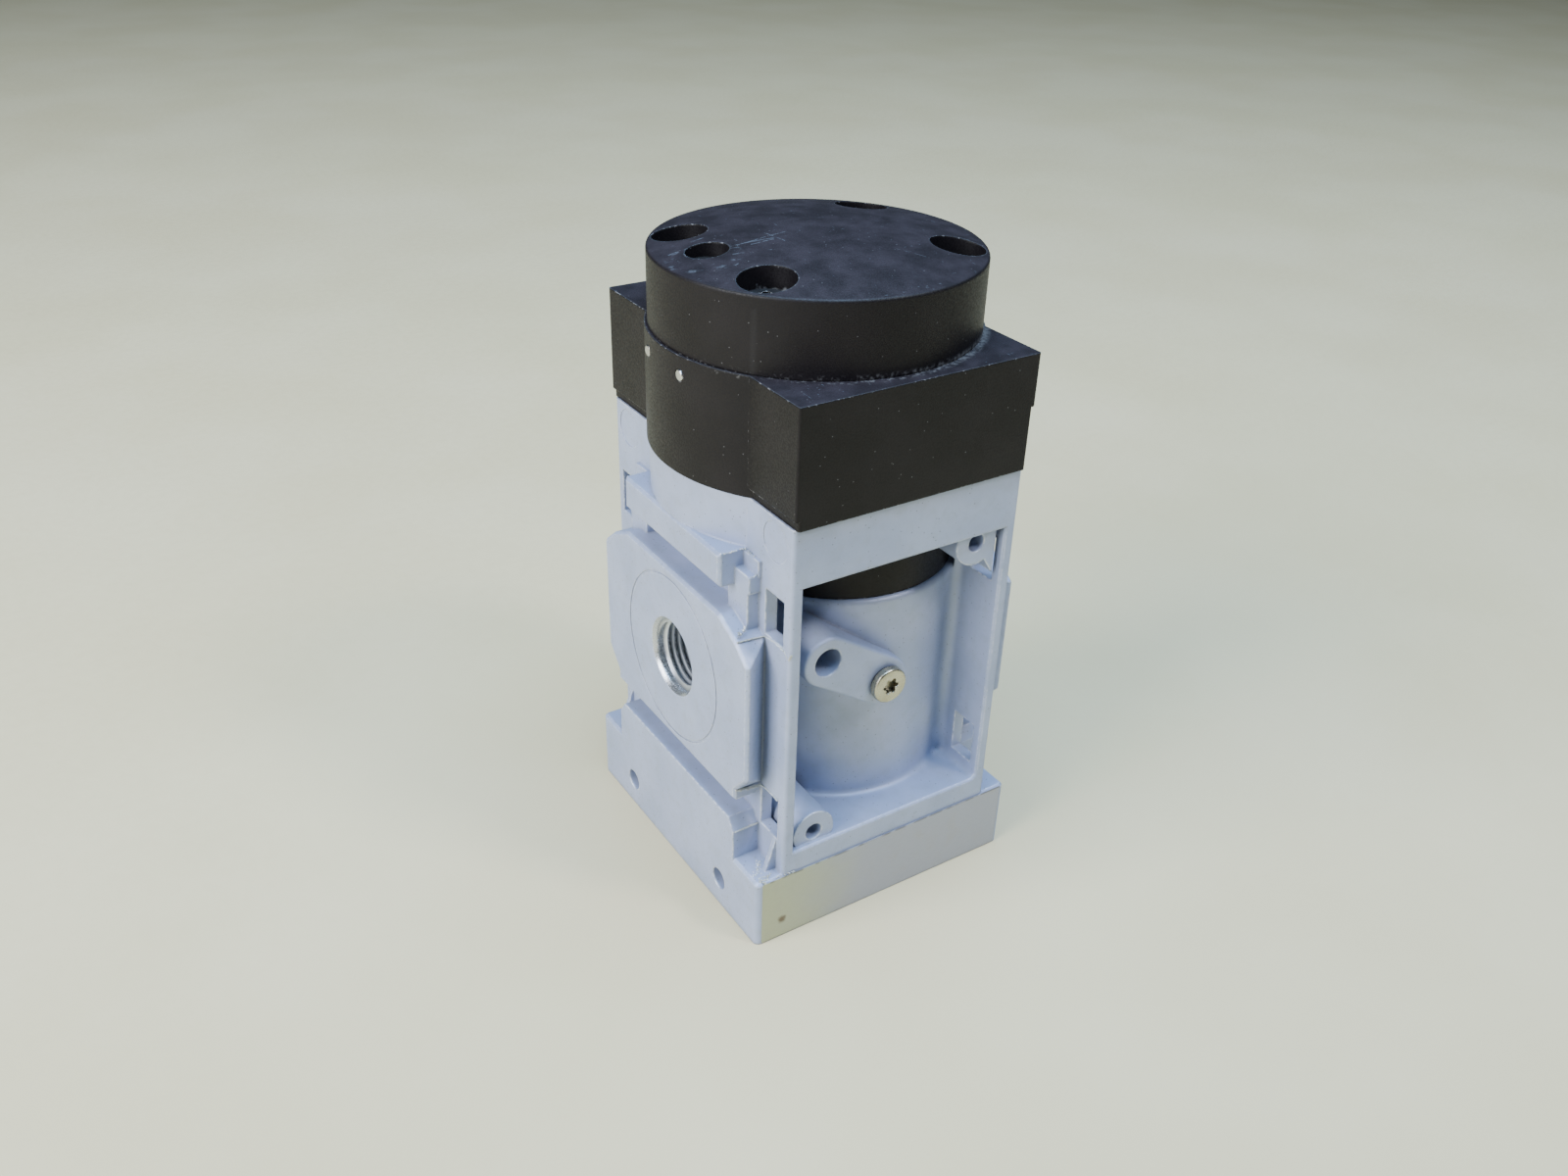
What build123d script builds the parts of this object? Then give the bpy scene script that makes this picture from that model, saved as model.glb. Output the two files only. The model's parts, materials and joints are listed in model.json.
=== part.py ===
from build123d import *
import os

os.makedirs("parts", exist_ok=True)

# Soft-start valve module for compressed-air service units, 40 mm grid.
# X is the flow direction (inlet at -X, outlet at +X), -Y is the front, +Z is up,
# and the origin is the centre of the underside of the foot. Millimetres.

# --- overall sizes -----------------------------------------------------------
module_width = 40.0        # grid width, over the port faces
half_width = module_width / 2
body_depth = 42.5          # housing above the foot
foot_depth = 42.8
foot_height = 10.1
foot_corner = 0.8
wall_corner = 0.5
shoulder_top = 16.1        # raised middle of the foot, between the clamp grooves
shoulder_width = 31.0
wall_x = 16.2              # outer face of the side walls
housing_top = 59.0
head_top = 73.5
crown_z = 84.3
gusset_y = 18.9
gusset_thickness = 0.7
cast_chamfer = 0.35        # broken outer edges of the casting
mouth_chamfer = 0.25       # around the mouths of the recesses
lug_rounding = 0.35

# --- clamping faces and ports ------------------------------------------------
port_z = 32.1
plate_bottom = 19.7
plate_top = 44.6
plate_half_depth = 18.2
plate_step_y = 15.55       # above and below the clamp ends
plate_root_y = 15.9        # half depth of the plate where it meets the wall
rail_bottom = 48.2
rail_top = 52.5
rail_half_depth = 11.7
housing_bulge_radius = 19.9
thread_radius = 4.864      # G1/8 major diameter 9.728
thread_end_x = 13.3
port_core_radius = 4.283   # G1/8 minor diameter 8.566, behind the thread
port_mouth_radius = 5.35
mouth_depth = port_mouth_radius - thread_radius
seal_mark_radius = 11.3    # faint ring left by the flange seal
inlet_bore_end = -9.5
side_hole_radius = 1.5
side_hole_spacing = 24.0
side_hole_z = 4.15
side_hole_depth = 9.0

# --- front and rear recesses -------------------------------------------------
recess_half_width = 14.6
recess_floor = 13.1
recess_ceiling = 51.2
column_radius = 16.3
valve_x = 4.0              # axis of the main valve, off the middle of the module
web_half_depth = 6.0
junction_rounding = 1.2    # where the column runs into the side wall
collar_bottom = 42.8       # step round the front of the column
collar_inner = 12.4
collar_outer = 15.7
collar_back = 7.0
collar_gap = 0.1
rim_rounding = 0.8
window_inner_y = 15.9
window_outer_y = 19.8
window_height = 6.05
lower_window_bottom = 14.9
upper_window_bottom = 43.2
lug_radius = 3.35
lug_face_y = -18.5
lug_hole = (-8.8, 38.0)    # x, z
lug_hole_radius = 1.9
lug_hole_depth = 8.0
gauge_tap = (0.0, 32.3)    # x, z
gauge_tap_radius = 1.25
tube_boss_radius = 3.0
tube_boss_hole = 1.2
tube_boss_face_y = 20.5
low_boss = (-11.2, 14.5)   # x, z
high_boss = (10.8, 49.9)   # x, z
rib_x = 13.8               # edge and tip of the rib beside the high boss
rib_tip_z = 45.0
ejector_mark = (17.6, 56.0)    # y, z, near the corners of the side walls
ejector_mark_radius = 2.5
ejector_mark_depth = 0.08

# --- inner bores of the housing ----------------------------------------------
main_bore = 9.0
inlet_chamber_radius = 8.0
inlet_chamber_floor = 13.5
seat_shoulder_z = 25.0
guide_flange_radius = 9.6
guide_flange_z = 56.5
gallery_half_width = 3.5
gallery_floor = 15.0
gallery_roof = 22.5
gallery_x = -13.0
pilot_feed = (-12.5, 1.25)     # x, y: inlet air up to the throttle
pilot_feed_radius = 1.3
pilot_return = (4.0, 11.6)     # x, y: outlet air up to the piston
pilot_return_radius = 1.1
pilot_return_z = 37.0

# --- head --------------------------------------------------------------------
head_half_width = 15.95
head_flare = 0.4               # the upper part of the block is this much wider
head_flare_inlet_z = 60.2
head_flare_outlet_z = 67.0
head_half_depth = 21.77
head_bulge_radius = 20.2
cap_radius = 19.85
dome_radius = 104.0
screw_x = 12.9
screw_y = 9.6
screw_radius = 1.95            # M4
screw_hole_radius = 2.0
screw_clearance = 2.2
screw_head_radius = 3.0
screw_head_height = 3.1
counterbore_radius = 3.3
counterbore_floor = 78.0
screw_end = 53.0
gasket_thickness = 0.5
gasket_gap = 0.1               # between a gasket's edge and its recess
cap_gasket_radius = 17.9
piston_bore = 9.0

# --- throttle ----------------------------------------------------------------
throttle_x = -14.0
throttle_y = 1.25
spindle_radius = 4.42
spindle_hole = 4.5
spindle_foot_z = 67.2
spindle_collar_top = 72.9
spindle_neck_radius = 2.2
spindle_top = 82.0
neck_hole = 2.5
throttle_seat_radius = 2.5
throttle_seat_z = 61.0
throttle_seat_height = 2.0
pin_radius = 0.7
pin_z = 71.2
pin_offset = 4.15              # from the throttle axis, to each side
pin_end_x = -9.0

# --- main valve --------------------------------------------------------------
stem_radius = 2.5
stem_thread_radius = 2.0
seat_opening = 5.6
groove_depth = 1.3             # grooves of the sealing rings in the main bore
groove_width = 1.6
ring_section = 0.64
seat_groove_z = 25.4
guide_groove_z = 52.0
piston_underside = 64.0
piston_topside = 69.5
poppet_underside = 21.0
poppet_top = 23.0
poppet_radius = 7.2
seat_lip_z = 24.4
spring_coil_radius = 6.2
spring_wire_radius = 0.5
spring_turns = 4.5

valve_plane = Plane(origin=(valve_x, 0, 0), x_dir=(1, 0, 0), z_dir=(0, -1, 0))
throttle_plane = Plane(origin=(throttle_x, throttle_y, 0), x_dir=(1, 0, 0), z_dir=(0, -1, 0))
screw_points = [(x, y) for x in (-screw_x, screw_x) for y in (-screw_y, screw_y)]
sides = (-1, 1)


def turn(plane, outline, mode=Mode.ADD):
    """Revolves an (r, z) outline about the vertical axis through the plane's origin."""
    with BuildSketch(plane, mode=Mode.PRIVATE) as section:
        with BuildLine():
            Polyline(*outline, close=True)
        make_face()
    revolve(section.sketch, axis=Axis(plane.origin, (0, 0, 1)), mode=mode)


def block(low, high, mode=Mode.ADD):
    """Adds or cuts the upright box between two corners."""
    size = [b - a for a, b in zip(low, high)]
    middle = [(a + b) / 2 for a, b in zip(low, high)]
    with Locations(tuple(middle)):
        Box(*size, mode=mode)


def rod(start, length, radius, direction, mode=Mode.ADD):
    """Adds or cuts a round bar from start along direction."""
    with BuildSketch(Plane(origin=start, z_dir=direction), mode=Mode.PRIVATE) as section:
        Circle(radius)
    extrude(section.sketch, amount=length, mode=mode)


def finish_piece(builder, name):
    """Labels a finished piece and writes its STEP file."""
    builder.part.label = name
    export_step(builder.part, f"parts/{name}.step")


# --- die-cast housing --------------------------------------------------------
with BuildPart() as housing:
    with BuildSketch(Plane.XY):
        RectangleRounded(module_width, foot_depth, foot_corner)
    extrude(amount=foot_height)
    chamfer(housing.edges().group_by(Axis.Z)[-1], length=cast_chamfer)
    with BuildSketch(Plane.YZ.offset(-half_width)):
        with BuildLine():
            shoulder_side = Polyline(
                (0, 1),
                (shoulder_width / 2, 1),
                (shoulder_width / 2 - 0.1, 14.4),
                (shoulder_width / 2 - 1.3, shoulder_top),
                (0, shoulder_top),
            )
            mirror(shoulder_side, about=Plane.YZ)
        make_face()
    extrude(amount=module_width)
    with BuildSketch(Plane.XY.offset(foot_height - 2)):
        RectangleRounded(2 * wall_x, body_depth, wall_corner)
    extrude(amount=housing_top - foot_height + 2)

    # port plates, with their corners cut back for the clamps
    with BuildSketch(Plane.YZ.offset(-half_width)):
        with BuildLine():
            right_side = Polyline(
                (0, plate_bottom),
                (plate_step_y, plate_bottom),
                (plate_step_y, 21.2),
                (plate_half_depth, 24.2),
                (plate_half_depth, 40.6),
                (plate_step_y, 42.8),
                (11.6, plate_top),
                (0, plate_top),
            )
            mirror(right_side, about=Plane.YZ)
        make_face()
    extrude(amount=module_width)
    plate_rims = housing.faces().filter_by(Axis.X).filter_by(
        lambda face: abs(face.center().Z - port_z) < 1 and abs(face.center().X) > wall_x + 1
    )
    chamfer(plate_rims.edges(), length=cast_chamfer)
    # slanted backs of the plate ends, where the clamps draw the modules together
    for side in sides:
        for end in sides:
            with BuildSketch(Plane.XY.offset(plate_bottom - 0.5)):
                with BuildLine():
                    Polyline(
                        (side * (half_width - 0.5), end * plate_half_depth),
                        (side * wall_x, end * plate_root_y),
                        (side * wall_x, end * (plate_half_depth + 0.5)),
                        (side * (half_width - 0.5), end * (plate_half_depth + 0.5)),
                        close=True,
                    )
                make_face()
            extrude(amount=plate_top - plate_bottom + 1, mode=Mode.SUBTRACT)

    # upper rails and the round shoulder under the head
    block((-half_width, -rail_half_depth, rail_bottom), (half_width, rail_half_depth, rail_top))
    rail_ends = housing.faces().filter_by(Axis.X).filter_by(
        lambda face: abs(face.center().X) > wall_x + 1 and rail_bottom < face.center().Z < rail_top
    )
    chamfer(rail_ends.edges(), length=cast_chamfer)
    with BuildSketch(Plane.XY.offset(rail_top)):
        Circle(housing_bulge_radius)
    extrude(amount=housing_top - rail_top)

    # small stops beside the rails
    for side in sides:
        for end in sides:
            stop = ((16.0, 10.2, 43.3), (17.8, 14.5, rail_bottom + 0.2))
            stop_head = ((16.0, rail_half_depth - 0.2, rail_bottom), (17.8, 14.85, 50.4))
            pad = ((16.0, rail_half_depth - 0.3, 50.2), (16.65, 15.0, rail_top - 0.2))
            for low, high in (stop, stop_head, pad):
                block_low = [min(side * low[0], side * high[0]), min(end * low[1], end * high[1]), low[2]]
                block_high = [max(side * low[0], side * high[0]), max(end * low[1], end * high[1]), high[2]]
                block(block_low, block_high)

    # small gussets between the side walls and the foot
    for side in sides:
        for end in sides:
            with BuildSketch(Plane.XZ.offset(-end * gusset_y)):
                with BuildLine():
                    Polyline(
                        (side * (wall_x - 0.3), foot_height - 0.5),
                        (side * 17.85, foot_height - 0.5),
                        (side * (wall_x - 0.3), 15.7),
                        close=True,
                    )
                make_face()
            extrude(amount=-end * gusset_thickness)

    # front and rear recesses around the valve column
    with BuildSketch(Plane.XY.offset(recess_floor)) as recess_outline:
        Rectangle(2 * recess_half_width, foot_depth + 2)
        with Locations((valve_x, 0)):
            Circle(column_radius, mode=Mode.SUBTRACT)
        with Locations(((-wall_x - valve_x) / 2, 0)):
            Rectangle(wall_x - valve_x, 2 * web_half_depth, mode=Mode.SUBTRACT)
        junction_y = (column_radius**2 - (recess_half_width - valve_x) ** 2) ** 0.5
        junctions = recess_outline.vertices().filter_by(
            lambda v: abs(v.X - recess_half_width) < 0.01 and abs(abs(v.Y) - junction_y) < 0.01
        )
        fillet(junctions, radius=junction_rounding)
    extrude(amount=recess_ceiling - recess_floor, mode=Mode.SUBTRACT)
    column_feet = housing.edges().filter_by(GeomType.CIRCLE).filter_by(
        lambda edge: abs(edge.radius - column_radius) < 0.01 and abs(edge.center().Z - recess_floor) < 0.01
    )
    fillet(column_feet, radius=0.9)
    recess_mouths = housing.edges().filter_by(
        lambda edge: abs(abs(edge.center().Y) - body_depth / 2) < 0.01
        and abs(edge.center().X) < recess_half_width + 0.1
        and recess_floor - 0.1 < edge.center().Z < recess_ceiling + 0.1
    )
    chamfer(recess_mouths, length=mouth_chamfer)

    # step round the front of the column, where the dark collar sits
    with BuildSketch(Plane.XY.offset(collar_bottom)):
        with Locations((valve_x, 0)):
            Circle(column_radius + 0.4)
            Circle(collar_inner, mode=Mode.SUBTRACT)
        with Locations((0, -(collar_back + foot_depth / 2) / 2)):
            Rectangle(2 * recess_half_width, foot_depth / 2 - collar_back, mode=Mode.INTERSECT)
    extrude(amount=recess_ceiling - collar_bottom, mode=Mode.SUBTRACT)
    step_rims = housing.edges().filter_by(GeomType.CIRCLE).filter_by(
        lambda edge: abs(edge.radius - column_radius) < 0.01 and abs(edge.center().Z - collar_bottom) < 0.01
    )
    fillet(step_rims, radius=rim_rounding)

    # windows in the side walls, beside the front and rear pillars
    for side in sides:
        for end in sides:
            for bottom in (lower_window_bottom, upper_window_bottom):
                near = (side * (recess_half_width - 0.2), end * window_inner_y, bottom)
                far = (side * (wall_x + 0.3), end * window_outer_y, bottom + window_height)
                low = [min(a, b) for a, b in zip(near, far)]
                high = [max(a, b) for a, b in zip(near, far)]
                block(low, high, mode=Mode.SUBTRACT)

    # lug with the gauge tapping, on the front of the column
    lug_run = Vector(lug_hole[0] - gauge_tap[0], lug_hole[1] - gauge_tap[1], 0)
    lug_angle = lug_run.get_signed_angle(Vector(1, 0, 0), Vector(0, 0, -1))
    lug_middle = ((lug_hole[0] + gauge_tap[0]) / 2, (lug_hole[1] + gauge_tap[1]) / 2)
    with BuildSketch(Plane.XZ.offset(-lug_face_y)):
        with Locations(lug_middle):
            SlotCenterToCenter(lug_run.length, 2 * lug_radius, rotation=lug_angle)
    extrude(amount=-10.0)
    lug_faces = housing.faces().filter_by(Axis.Y).filter_by(
        lambda face: abs(face.center().Y - lug_face_y) < 0.01
    )
    fillet(lug_faces.edges(), radius=lug_rounding)

    # tubular bosses for the screws of the front and rear covers
    for end in sides:
        for boss_x, boss_z in (low_boss, high_boss):
            rod((boss_x, end * tube_boss_face_y, boss_z), 12.0, tube_boss_radius, (0, -end, 0))
        rib_plane = Plane.XZ.offset(-end * tube_boss_face_y)
        with BuildSketch(rib_plane):
            with BuildLine():
                Polyline(
                    high_boss,
                    (high_boss[0], recess_ceiling + 0.5),
                    (rib_x, recess_ceiling + 0.5),
                    (rib_x, rib_tip_z),
                    (high_boss[0] + 1.4, high_boss[1] - 2.5),
                    close=True,
                )
            make_face()
        extrude(amount=end * 4.0)

    # --- machining ---
    # main bore from above, inlet chamber under the seat shoulder
    turn(
        valve_plane,
        [
            (0, inlet_chamber_floor),
            (inlet_chamber_radius, inlet_chamber_floor),
            (inlet_chamber_radius, seat_shoulder_z),
            (main_bore, seat_shoulder_z),
            (main_bore, guide_flange_z),
            (guide_flange_radius, guide_flange_z),
            (guide_flange_radius, housing_top),
            (0, housing_top),
        ],
        mode=Mode.SUBTRACT,
    )
    # ports, each with its countersunk mouth
    for side, bore_end in ((-1, inlet_bore_end), (1, 11.0)):
        face_x = side * half_width
        thread_length = half_width - thread_end_x
        rod((face_x, 0, port_z), thread_length, thread_radius, (-side, 0, 0), mode=Mode.SUBTRACT)
        bore_length = abs(face_x - bore_end)
        rod((face_x, 0, port_z), bore_length, port_core_radius, (-side, 0, 0), mode=Mode.SUBTRACT)
        mouth_plane = Plane(origin=(face_x, 0, port_z), z_dir=(-side, 0, 0))
        with BuildSketch(mouth_plane):
            Circle(port_mouth_radius)
        extrude(amount=mouth_depth, taper=45, mode=Mode.SUBTRACT)
        with BuildSketch(mouth_plane):
            Circle(seal_mark_radius + 0.15)
            Circle(seal_mark_radius - 0.15, mode=Mode.SUBTRACT)
        extrude(amount=0.1, mode=Mode.SUBTRACT)
    # inlet gallery: down from the port, then across to the chamber
    gallery_low = (gallery_x, -gallery_half_width, gallery_floor)
    block(gallery_low, (inlet_bore_end - 0.6, gallery_half_width, port_z - 1), mode=Mode.SUBTRACT)
    block(gallery_low, (valve_x - 7, gallery_half_width, gallery_roof), mode=Mode.SUBTRACT)
    # pilot galleries up to the head
    rod((*pilot_feed, port_z), housing_top - port_z, pilot_feed_radius, (0, 0, 1), mode=Mode.SUBTRACT)
    rod(
        (*pilot_return, pilot_return_z), housing_top - pilot_return_z, pilot_return_radius, (0, 0, 1),
        mode=Mode.SUBTRACT,
    )
    block(
        (pilot_return[0] - 0.8, main_bore - 1, pilot_return_z + 0.3),
        (pilot_return[0] + 0.8, pilot_return[1], pilot_return_z + 2.8),
        mode=Mode.SUBTRACT,
    )
    # threaded holes for the head screws
    for x, y in screw_points:
        rod((x, y, housing_top), housing_top - screw_end + 0.6, screw_hole_radius, (0, 0, -1), mode=Mode.SUBTRACT)
    # marks of the ejector pins, high on the side walls
    for side in sides:
        for end in sides:
            start = (side * wall_x, end * ejector_mark[0], ejector_mark[1])
            rod(start, ejector_mark_depth, ejector_mark_radius, (-side, 0, 0), mode=Mode.SUBTRACT)
    # holes in the lug and in the tubular bosses
    rod((lug_hole[0], lug_face_y, lug_hole[1]), lug_hole_depth, lug_hole_radius, (0, 1, 0), mode=Mode.SUBTRACT)
    rod((gauge_tap[0], lug_face_y, gauge_tap[1]), 11.5, gauge_tap_radius, (0, 1, 0), mode=Mode.SUBTRACT)
    for end in sides:
        for boss_x, boss_z in (low_boss, high_boss):
            start = (boss_x, end * tube_boss_face_y, boss_z)
            rod(start, 9.0, tube_boss_hole, (0, -end, 0), mode=Mode.SUBTRACT)
    # fixing holes in both side faces of the foot
    for side in sides:
        for end in sides:
            start = (side * half_width, end * side_hole_spacing / 2, side_hole_z)
            rod(start, side_hole_depth, side_hole_radius, (-side, 0, 0), mode=Mode.SUBTRACT)
    # coring of the underside
    with BuildSketch(Plane.XY):
        with Locations((0, -9.6), (0, 9.6)):
            RectangleRounded(17.0, 16.4, 2.0)
        with Locations((-14.2, 0), (14.2, 0)):
            RectangleRounded(6.6, 15.0, 1.5)
    extrude(amount=8.0, mode=Mode.SUBTRACT)

finish_piece(housing, "housing")

# dark moulded collar on the step of the column, under the band
with BuildPart() as column_collar:
    with BuildSketch(Plane.XY.offset(collar_bottom)):
        with Locations((valve_x, 0)):
            Circle(collar_outer)
            Circle(collar_inner + collar_gap, mode=Mode.SUBTRACT)
        with Locations((0, -(collar_back + collar_gap + foot_depth / 2) / 2)):
            Rectangle(
                2 * (recess_half_width - collar_gap), foot_depth / 2 - collar_back - collar_gap,
                mode=Mode.INTERSECT,
            )
    extrude(amount=recess_ceiling - collar_gap - collar_bottom)
    # notch for the tubular boss that runs into the column
    boss_end = (high_boss[0], -tube_boss_face_y, high_boss[1])
    rod(boss_end, 14.0, tube_boss_radius + collar_gap, (0, 1, 0), mode=Mode.SUBTRACT)
finish_piece(column_collar, "column_collar")

# blank foil label on the front of the foot
label_thickness = 0.06
with BuildPart() as marking_label:
    with BuildSketch(Plane.XZ.offset(foot_depth / 2)):
        with Locations((0, foot_height / 2)):
            RectangleRounded(module_width - 2 * foot_corner, foot_height - 0.3, 0.2)
    extrude(amount=label_thickness)
finish_piece(marking_label, "marking_label")


def head_gasket_outline(margin):
    """Outline of the gasket under the head, drawn in by margin: a plate with a lobe round the throttle."""
    with BuildSketch(Plane.XY.offset(housing_top), mode=Mode.PRIVATE) as outline:
        RectangleRounded(31.2 - 2 * margin, 27.4 - 2 * margin, 2.0 - margin)
        with Locations((throttle_x, throttle_y)):
            Circle(4.6 - margin)
    return outline


# --- moulded head ------------------------------------------------------------
with BuildPart() as head_housing:
    block((-head_half_width, -head_half_depth, housing_top), (head_half_width, head_half_depth, head_top))
    flare = head_half_width + head_flare
    block((-flare, -head_half_depth, head_flare_inlet_z), (0, head_half_depth, head_top))
    block((0, -head_half_depth, head_flare_outlet_z), (flare, head_half_depth, head_top))
    fillet(head_housing.edges().filter_by(Axis.Z), radius=0.3)
    with BuildSketch(Plane.XY.offset(housing_top)):
        Circle(head_bulge_radius)
    extrude(amount=head_top - housing_top)
    # recesses for the gaskets
    extrude(head_gasket_outline(0).sketch, amount=gasket_thickness, mode=Mode.SUBTRACT)
    with BuildSketch(Plane.XY.offset(head_top - gasket_thickness)):
        Circle(cap_gasket_radius + gasket_gap)
    extrude(amount=gasket_thickness, mode=Mode.SUBTRACT)
    # coring of the front and rear wings, open below
    with BuildSketch(Plane.XY.offset(housing_top)):
        with Locations((0, -17.1), (0, 17.1)):
            RectangleRounded(27.6, 5.6, 1.0)
    extrude(amount=12.0, mode=Mode.SUBTRACT)
    # cylinder, screw holes and pilot holes through the block
    with BuildSketch(Plane.XY.offset(housing_top)):
        with Locations((valve_x, 0)):
            Circle(piston_bore)
        with Locations(*screw_points):
            Circle(screw_clearance)
        with Locations(pilot_return):
            Circle(pilot_return_radius)
    extrude(amount=head_top - housing_top, mode=Mode.SUBTRACT)
    # stepped bore of the throttle
    turn(
        throttle_plane,
        [
            (0, housing_top),
            (throttle_seat_radius, housing_top),
            (throttle_seat_radius, throttle_seat_z + throttle_seat_height),
            (2.0, throttle_seat_z + throttle_seat_height),
            (2.0, spindle_foot_z - 0.2),
            (spindle_hole, spindle_foot_z - 0.2),
            (spindle_hole, head_top),
            (0, head_top),
        ],
        mode=Mode.SUBTRACT,
    )
    # key slots for the needle, and the passage from the throttle to the piston side
    key_bottom = throttle_seat_z + throttle_seat_height
    block(
        (throttle_x - 2.95, throttle_y - 0.9, key_bottom),
        (throttle_x + 2.95, throttle_y + 0.9, spindle_foot_z - 0.2),
        mode=Mode.SUBTRACT,
    )
    block((throttle_x + 1, throttle_y - 0.6, 64.0), (-7.0, throttle_y + 0.6, 66.0), mode=Mode.SUBTRACT)
    rod((-7.6, throttle_y, 64.0), head_top - 64.0, 0.9, (0, 0, 1), mode=Mode.SUBTRACT)
    # holes for the retaining pins, and the breather of the cylinder
    for side in sides:
        pin_start = (-half_width - 1, throttle_y + side * pin_offset, pin_z)
        rod(pin_start, pin_end_x + half_width + 1, pin_radius, (1, 0, 0), mode=Mode.SUBTRACT)
    rod((valve_x, piston_bore - 1, 61.6), 15.0, 0.6, (0, 1, 0), mode=Mode.SUBTRACT)
finish_piece(head_housing, "head_housing")

# domed round cap
rim_z = crown_z - cap_radius**2 / (2 * dome_radius)
with BuildPart() as cap_cover:
    with BuildSketch(Plane.XZ):
        with BuildLine():
            Polyline((0, crown_z), (0, head_top), (cap_radius, head_top), (cap_radius, rim_z))
            RadiusArc((cap_radius, rim_z), (0, crown_z), -dome_radius)
        make_face()
    revolve(axis=Axis.Z)
    rim = cap_cover.edges().filter_by(
        lambda edge: edge.geom_type == GeomType.CIRCLE and abs(edge.center().Z - rim_z) < 0.01
    )
    fillet(rim, radius=0.35)
    # pressure space above the piston, with arms to the two pilot holes
    with BuildSketch(Plane.XY.offset(head_top)):
        with Locations((valve_x, 0)):
            Circle(piston_bore - 0.4)
        with Locations((-2.6, throttle_y)):
            Rectangle(12.2, 2.2)
        with Locations((pilot_return[0], 6.5)):
            Rectangle(2.4, 12.6)
    extrude(amount=3.5, mode=Mode.SUBTRACT)
    # coring between the screws
    with BuildSketch(Plane.XY.offset(head_top)):
        Circle(17.8)
        with Locations((valve_x, 0)):
            Circle(11.0, mode=Mode.SUBTRACT)
        with Locations(*screw_points):
            Circle(4.6, mode=Mode.SUBTRACT)
        with Locations((throttle_x, throttle_y)):
            Circle(6.4, mode=Mode.SUBTRACT)
        with Locations((-5.0, throttle_y)):
            Rectangle(12.0, 5.0, mode=Mode.SUBTRACT)
        with Locations((pilot_return[0], 10.0)):
            Rectangle(5.6, 8.0, mode=Mode.SUBTRACT)
    extrude(amount=6.0, mode=Mode.SUBTRACT)
    with Locations(*[(x, y, crown_z) for x, y in screw_points]):
        CounterBoreHole(screw_clearance, counterbore_radius, crown_z - counterbore_floor)
    rod((throttle_x, throttle_y, head_top), 12.0, neck_hole, (0, 0, 1), mode=Mode.SUBTRACT)
finish_piece(cap_cover, "cap_cover")

# flat gaskets under the head and under the cap
with BuildPart() as head_gasket:
    extrude(head_gasket_outline(gasket_gap).sketch, amount=gasket_thickness)
    with BuildSketch(Plane.XY.offset(housing_top)):
        with Locations((valve_x, 0)):
            Circle(piston_bore)
        with Locations(*screw_points):
            Circle(screw_clearance)
        with Locations((throttle_x, throttle_y)):
            Circle(throttle_seat_radius + 0.4)
        with Locations(pilot_return):
            Circle(pilot_return_radius)
    extrude(amount=gasket_thickness, mode=Mode.SUBTRACT)
finish_piece(head_gasket, "head_gasket")

with BuildPart() as cap_gasket:
    with BuildSketch(Plane.XY.offset(head_top - gasket_thickness)):
        Circle(cap_gasket_radius)
        with Locations((valve_x, 0)):
            Circle(piston_bore, mode=Mode.SUBTRACT)
        with Locations(*screw_points):
            Circle(screw_clearance, mode=Mode.SUBTRACT)
        with Locations((throttle_x, throttle_y)):
            Circle(spindle_hole + 0.1, mode=Mode.SUBTRACT)
        with Locations((-7.6, throttle_y)):
            Circle(1.0, mode=Mode.SUBTRACT)
        with Locations(pilot_return):
            Circle(pilot_return_radius, mode=Mode.SUBTRACT)
        # the spindle hole runs out to the edge beside the pins
        with Locations((-17.4, throttle_y)):
            Rectangle(4.0, 5.0, mode=Mode.SUBTRACT)
    extrude(amount=gasket_thickness)
finish_piece(cap_gasket, "cap_gasket")

# four socket-star head screws, one piece each
star_radius = 1.75
star_lobe = 0.42
with BuildPart() as cover_screws:
    for x, y in screw_points:
        with BuildSketch(Plane.XY.offset(counterbore_floor)):
            with Locations((x, y)):
                Circle(screw_head_radius)
        extrude(amount=screw_head_height)
    rims = cover_screws.edges().group_by(Axis.Z)[-1]
    fillet(rims, radius=0.5)
    socket_z = counterbore_floor + screw_head_height
    for x, y in screw_points:
        rod((x, y, screw_end), counterbore_floor - screw_end, screw_radius, (0, 0, 1))
        with BuildSketch(Plane.XY.offset(socket_z)):
            with Locations((x, y)):
                Circle(star_radius - star_lobe)
                with PolarLocations(star_radius - star_lobe, 6):
                    Circle(star_lobe)
        extrude(amount=-1.8, mode=Mode.SUBTRACT)
finish_piece(cover_screws, "cover_screws")

# two pins that hold the throttle spindle in the head
with BuildPart() as retaining_pins:
    for side in sides:
        y = throttle_y + side * pin_offset
        bulge_x = -((head_bulge_radius**2 - y**2) ** 0.5)
        start_x = bulge_x - 0.12
        rod((start_x, y, pin_z), pin_end_x - start_x, pin_radius, (1, 0, 0))
    fillet(retaining_pins.edges().filter_by(GeomType.CIRCLE), radius=0.2)
finish_piece(retaining_pins, "retaining_pins")

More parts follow.
